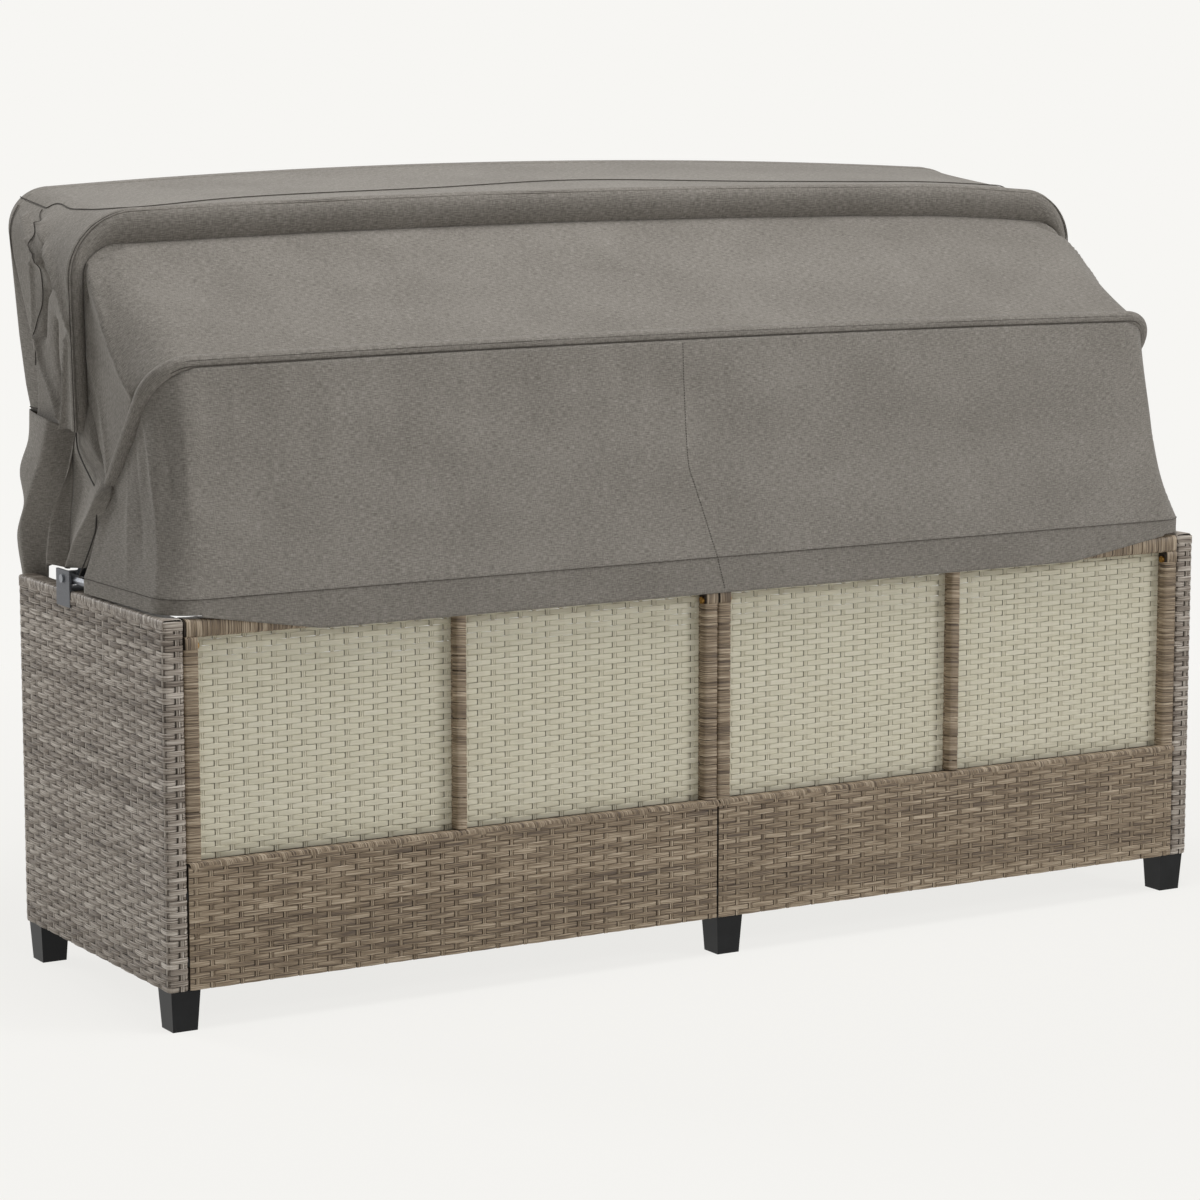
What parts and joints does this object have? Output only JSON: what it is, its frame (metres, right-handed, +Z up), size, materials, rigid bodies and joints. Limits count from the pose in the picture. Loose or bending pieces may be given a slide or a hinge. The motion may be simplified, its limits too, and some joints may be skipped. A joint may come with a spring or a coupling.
{
  "type": "outdoor daybed with canopy",
  "caption": "Woven outdoor daybed with seat and back cushions between two end panels, under a fabric canopy on hoops that fold back on a pin at each end.",
  "frame": {"origin": "on the floor, under the middle of the daybed's box", "axes": "+X along the daybed to the right end seen from the front, +Y to the back, +Z up"},
  "size_m": [2.0152, 0.712, 1.3018],
  "materials": {
    "brown_wicker": "woven flat strip, satin",
    "grey_wicker": "tight woven flat strip, satin",
    "cream_wicker": "woven flat strip, satin",
    "canopy_cloth": "plain woven, matt",
    "cushion_cloth": "plain woven, matt",
    "black_plastic": "satin moulded",
    "grey_tube": "powder coated, satin",
    "dark_steel": "powder coated, satin",
    "brass": "zinc yellow plated",
    "tie_cord": "braided, matt"
  },
  "bodies": {
    "base": {"end_panel_right": "grey_wicker", "end_panel_left": "grey_wicker", "foot_back_right": "black_plastic", "foot_front_right": "black_plastic", "foot_back_middle": "black_plastic", "foot_front_middle": "black_plastic", "foot_back_left": "black_plastic", "foot_front_left": "black_plastic", "back_rail_right": "brown_wicker", "back_band_right": "brown_wicker", "back_post_inner_right": "brown_wicker", "back_post_middle_right": "brown_wicker", "back_post_outer_right": "brown_wicker", "cream_panel_inner_right": "cream_wicker", "bolt_inner_right": "brass", "cream_panel_outer_right": "cream_wicker", "bolt_outer_right": "brass", "back_rail_left": "brown_wicker", "back_band_left": "brown_wicker", "back_post_inner_left": "brown_wicker", "back_post_middle_left": "brown_wicker", "back_post_outer_left": "brown_wicker", "cream_panel_inner_left": "cream_wicker", "bolt_inner_left": "brass", "cream_panel_outer_left": "cream_wicker", "bolt_outer_left": "brass", "spacer_low_right": "black_plastic", "spacer_high_right": "black_plastic", "spacer_low_middle": "black_plastic", "spacer_high_middle": "black_plastic", "spacer_low_left": "black_plastic", "spacer_high_left": "black_plastic", "front_apron_right": "brown_wicker", "seat_deck_right": "brown_wicker", "front_apron_left": "brown_wicker", "seat_deck_left": "brown_wicker", "centre_bearer": "dark_steel", "seat_cushion_right": "cushion_cloth", "back_cushion_right": "cushion_cloth", "seat_cushion_left": "cushion_cloth", "back_cushion_left": "cushion_cloth", "bow_0": "grey_tube", "pivot_bracket_right": "dark_steel", "pivot_pin_right": "grey_tube", "pivot_bracket_left": "dark_steel", "pivot_pin_left": "grey_tube", "hem_strap_right": "canopy_cloth", "hem_strap_left": "canopy_cloth"},
    "rear_hoop": {"bow_1": "grey_tube", "canopy_rear": "canopy_cloth", "tie_cord_lower_right": "tie_cord", "tie_cord_lower_left": "tie_cord"},
    "middle_hoop": {"bow_2": "grey_tube", "canopy_middle": "canopy_cloth", "tie_cord_upper_right": "tie_cord", "tie_cord_upper_left": "tie_cord"},
    "front_hoop": {"bow_3": "grey_tube", "canopy_roof": "canopy_cloth", "curtain_right": "canopy_cloth", "curtain_left": "canopy_cloth"}
  },
  "joints": [
    {"name": "rear_hoop_fold", "type": "hinge", "parent": "base", "child": "rear_hoop", "pos_m": [0, -0.03477, 0.667], "axis": [-1, 0, 0], "range_deg": [0, 44], "deforming": ["canopy_rear", "tie_cord_lower_right", "tie_cord_lower_left"]},
    {"name": "middle_hoop_fold", "type": "hinge", "parent": "rear_hoop", "child": "middle_hoop", "pos_m": [0, -0.03477, 0.667], "axis": [-1, 0, 0], "range_deg": [0, 30], "deforming": ["canopy_middle", "tie_cord_upper_right", "tie_cord_upper_left"]},
    {"name": "front_hoop_fold", "type": "hinge", "parent": "middle_hoop", "child": "front_hoop", "pos_m": [0, -0.03477, 0.667], "axis": [-1, 0, 0], "range_deg": [0, 22], "deforming": ["canopy_roof", "curtain_right", "curtain_left"]}
  ]
}
